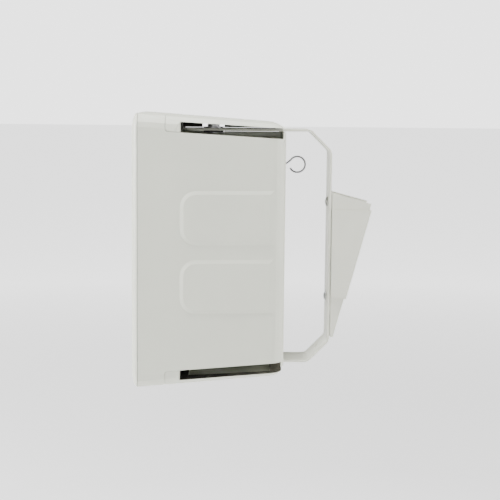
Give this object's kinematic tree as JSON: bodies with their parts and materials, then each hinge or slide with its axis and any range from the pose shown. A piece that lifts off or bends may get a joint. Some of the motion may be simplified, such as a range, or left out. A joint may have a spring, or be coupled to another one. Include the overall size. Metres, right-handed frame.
{
  "type": "wall loudspeaker on a yoke bracket",
  "caption": "Drafted plastic wall loudspeaker cabinet that swivels in a bent flat-bar yoke, with a folded steel tilt wedge for the wall and a wire safety eye.",
  "frame": {"origin": "centre of the wedge's wall face, on the wall plane", "axes": "+Z along the cabinet's height and the swivel axis, upwards; the cabinet's front faces -Y and the wall is on the +Y side, leaning 15 degrees; +X across the cabinet"},
  "size_m": [0.196, 0.293, 0.33],
  "materials": {
    "cabinet_plastic": "fine moulded texture, light grey",
    "bracket_paint": "satin powder coat, light grey",
    "grille_paint": "satin powder coat, light grey",
    "zinc": "zinc plated",
    "brass": "turned",
    "black_plastic": "moulded, matt",
    "basket_paint": "black stoved paint",
    "soft_rubber": "matt",
    "cone_paper": "coated paper and cloth, matt",
    "spider_cloth": "resin-treated cloth",
    "ferrite": "sintered, dull",
    "lamination_steel": "stacked sheet, lacquered",
    "copper": "enamelled copper wire",
    "cloth": "open weave",
    "board_green": "solder resist",
    "felt_grey": "felt"
  },
  "bodies": {
    "bracket": {"yoke": "bracket_paint", "yoke_channel": "bracket_paint", "wall_channel": "bracket_paint", "wedge_bolt_lower": "zinc", "wedge_bolt_upper": "zinc", "wedge_nut_lower": "zinc", "wedge_nut_upper": "zinc"},
    "cabinet": {"baffle_screw_1": "zinc", "baffle_screw_2": "zinc", "baffle_screw_3": "zinc", "baffle_screw_4": "zinc", "crossover_board": "board_green", "crossover_capacitor": "black_plastic", "crossover_choke": "copper", "felt_pad_left": "felt_grey", "felt_pad_right": "felt_grey", "friction_washer_lower": "black_plastic", "friction_washer_upper": "black_plastic", "front_baffle": "black_plastic", "grille": "grille_paint", "grille_cloth": "cloth", "lower_channel_cover": "cabinet_plastic", "lower_cover_screw": "zinc", "pivot_screw_lower": "zinc", "pivot_screw_upper": "zinc", "pivot_washer_lower": "zinc", "pivot_washer_upper": "zinc", "rear_shell": "cabinet_plastic", "safety_eye": "zinc", "safety_eye_nut": "zinc", "tap_switch_body": "black_plastic", "terminal_block": "black_plastic", "terminal_cup": "black_plastic", "threaded_insert_lower": "brass", "threaded_insert_upper": "brass", "transformer_core": "lamination_steel", "transformer_winding": "copper", "tweeter_faceplate": "black_plastic", "tweeter_magnet": "ferrite", "upper_channel_cover": "cabinet_plastic", "upper_cover_screw": "zinc", "woofer_back_plate": "zinc", "woofer_frame": "basket_paint", "woofer_magnet": "ferrite", "woofer_screw_1": "zinc", "woofer_screw_2": "zinc", "woofer_screw_3": "zinc", "woofer_screw_4": "zinc", "woofer_top_plate": "zinc"},
    "woofer_moving_parts": {"woofer_cone": "cone_paper", "dust_cap": "cone_paper", "voice_coil": "copper", "woofer_surround": "soft_rubber", "spider": "spider_cloth"},
    "tweeter_moving_part": {"tweeter_dome": "cone_paper"},
    "tap_selector": {"tap_knob": "black_plastic", "tap_switch_shaft": "zinc"}
  },
  "joints": [
    {"name": "cabinet_pan", "type": "hinge", "parent": "bracket", "child": "cabinet", "pos_m": [0, -0.18205, 0.00953], "axis": [0, 0, 1], "range_deg": [-90, 90]},
    {"name": "woofer_excursion", "type": "slide", "parent": "cabinet", "child": "woofer_moving_parts", "axis": [0, -1, 0], "range_m": [-0.004, 0.004], "stiffness_N_per_m": 2000, "deforming": ["woofer_surround", "spider"]},
    {"name": "tweeter_excursion", "type": "slide", "parent": "cabinet", "child": "tweeter_moving_part", "axis": [0, -1, 0], "range_m": [-0.0003, 0.0003], "stiffness_N_per_m": 2000},
    {"name": "tap_setting", "type": "hinge", "parent": "cabinet", "child": "tap_selector", "pos_m": [-0.02, -0.12135, -0.02047], "axis": [0, 1, 0], "range_deg": [0, 150]}
  ]
}
